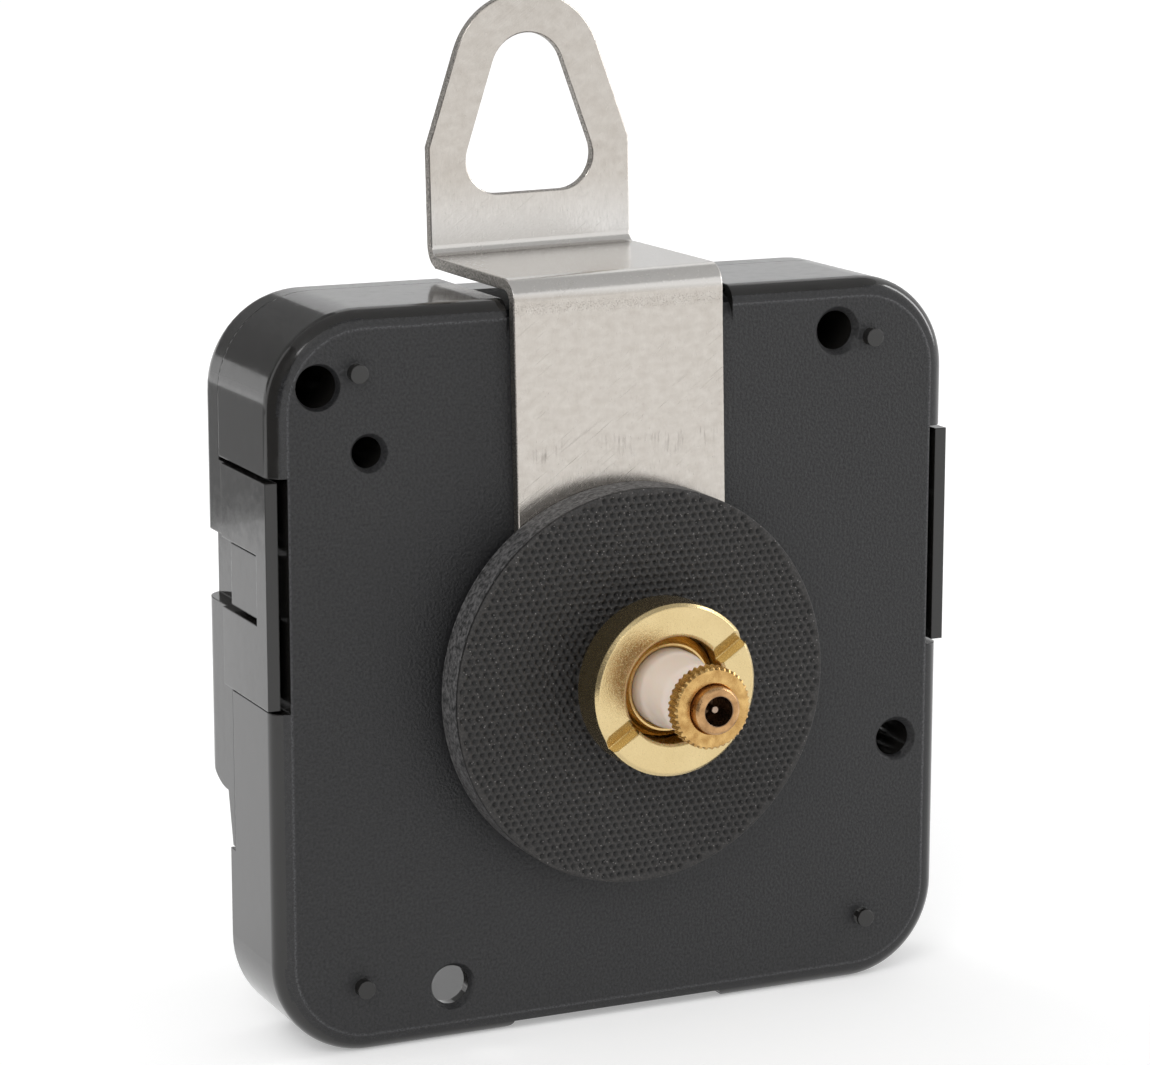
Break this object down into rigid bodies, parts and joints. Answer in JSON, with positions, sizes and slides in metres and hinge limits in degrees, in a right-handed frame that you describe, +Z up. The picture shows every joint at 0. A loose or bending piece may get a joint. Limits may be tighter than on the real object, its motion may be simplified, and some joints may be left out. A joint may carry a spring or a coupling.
{
  "type": "quartz clock movement",
  "caption": "Square quartz clock movement for one round cell, with a threaded centre bush, coaxial hand shafts, setting knob, rubber washer and metal wall hanger.",
  "frame": {"origin": "on the shaft axis, in the plane of the case's front face", "axes": "-Y along the hand shafts towards the dial, +Y towards the rear cover and the cell, +Z up towards the hanger, +X to the right seen from the dial side"},
  "size_m": [0.0566, 0.033, 0.0778],
  "materials": {
    "case_plastic": "fine grained on the front, glossy on the edges",
    "cover_plastic": "glossy",
    "hanger_steel": "satin",
    "washer_rubber": "dimpled face",
    "bush_brass": "turned",
    "nut_brass": "polished",
    "knurled_brass": "knurled",
    "hour_plastic": "smooth",
    "tube_brass": "turned",
    "gear_plastic": "smooth",
    "arbor_steel": "drawn",
    "magnet": "bonded ferrite",
    "knob_plastic": "satin",
    "bridge_plastic": "smooth",
    "soft_iron": "punched sheet",
    "bobbin_plastic": "smooth",
    "copper_wire": "enamelled",
    "board": "laminate",
    "crystal_can": "bright",
    "chip_resin": "cast",
    "contact_metal": "nickelled spring strip"
  },
  "bodies": {
    "case": {"front_case": "case_plastic", "rear_cover": "cover_plastic", "hanger": "hanger_steel", "rubber_washer": "washer_rubber", "threaded_bush": "bush_brass", "train_bridge": "bridge_plastic", "stator": "soft_iron", "coil_core": "soft_iron", "coil_bobbin": "bobbin_plastic", "coil_winding": "copper_wire", "circuit_board": "board", "quartz_crystal": "crystal_can", "driver_chip": "chip_resin", "positive_contact": "contact_metal", "negative_contact": "contact_metal"},
    "rotor": {"rotor_arbor": "arbor_steel", "rotor_pinion": "gear_plastic", "rotor_magnet": "magnet"},
    "intermediate": {"intermediate_wheel": "gear_plastic"},
    "seconds": {"seconds_arbor": "arbor_steel", "seconds_wheel": "gear_plastic"},
    "third": {"third_wheel": "gear_plastic"},
    "minute": {"minute_tube": "tube_brass", "minute_wheel": "gear_plastic"},
    "setting": {"motion_wheel": "gear_plastic", "setting_knob": "knob_plastic"},
    "hour": {"hour_wheel": "hour_plastic"},
    "dial_nut": {"centre_nut": "nut_brass"},
    "hand_nut": {"minute_nut": "knurled_brass"}
  },
  "joints": [
    {"name": "rotor_turn", "type": "hinge", "parent": "case", "child": "rotor", "pos_m": [-0.00914, 0, 0.01196], "axis": [0, 1, 0], "continuous": true},
    {"name": "intermediate_turn", "type": "hinge", "parent": "case", "child": "intermediate", "pos_m": [-0.00308, 0, 0.00846], "axis": [0, 1, 0], "continuous": true},
    {"name": "seconds_turn", "type": "hinge", "parent": "case", "child": "seconds", "pos_m": [0, 0, 0], "axis": [0, 1, 0], "continuous": true},
    {"name": "third_turn", "type": "hinge", "parent": "case", "child": "third", "pos_m": [0.0088, 0, 0], "axis": [0, 1, 0], "continuous": true},
    {"name": "minute_turn", "type": "hinge", "parent": "case", "child": "minute", "pos_m": [0, 0, 0], "axis": [0, 1, 0], "continuous": true},
    {"name": "setting_turn", "type": "hinge", "parent": "case", "child": "setting", "pos_m": [-0.00886, 0, -0.00156], "axis": [0, 1, 0], "continuous": true},
    {"name": "hour_turn", "type": "hinge", "parent": "case", "child": "hour", "pos_m": [0, 0, 0], "axis": [0, 1, 0], "continuous": true},
    {"name": "dial_nut_turn", "type": "hinge", "parent": "case", "child": "dial_nut", "pos_m": [0, 0, 0], "axis": [0, 1, 0], "range_deg": [-1000, 1000]},
    {"name": "hand_nut_turn", "type": "hinge", "parent": "minute", "child": "hand_nut", "pos_m": [0, 0, 0], "axis": [0, 1, 0], "range_deg": [-720, 720]}
  ],
  "couplings": [
    {"joint": "rotor_turn", "follows": "minute_turn", "ratio": 1800},
    {"joint": "intermediate_turn", "follows": "minute_turn", "ratio": -300},
    {"joint": "seconds_turn", "follows": "minute_turn", "ratio": 60},
    {"joint": "third_turn", "follows": "minute_turn", "ratio": -6},
    {"joint": "setting_turn", "follows": "minute_turn", "ratio": -0.33333},
    {"joint": "hour_turn", "follows": "minute_turn", "ratio": 0.083333}
  ]
}
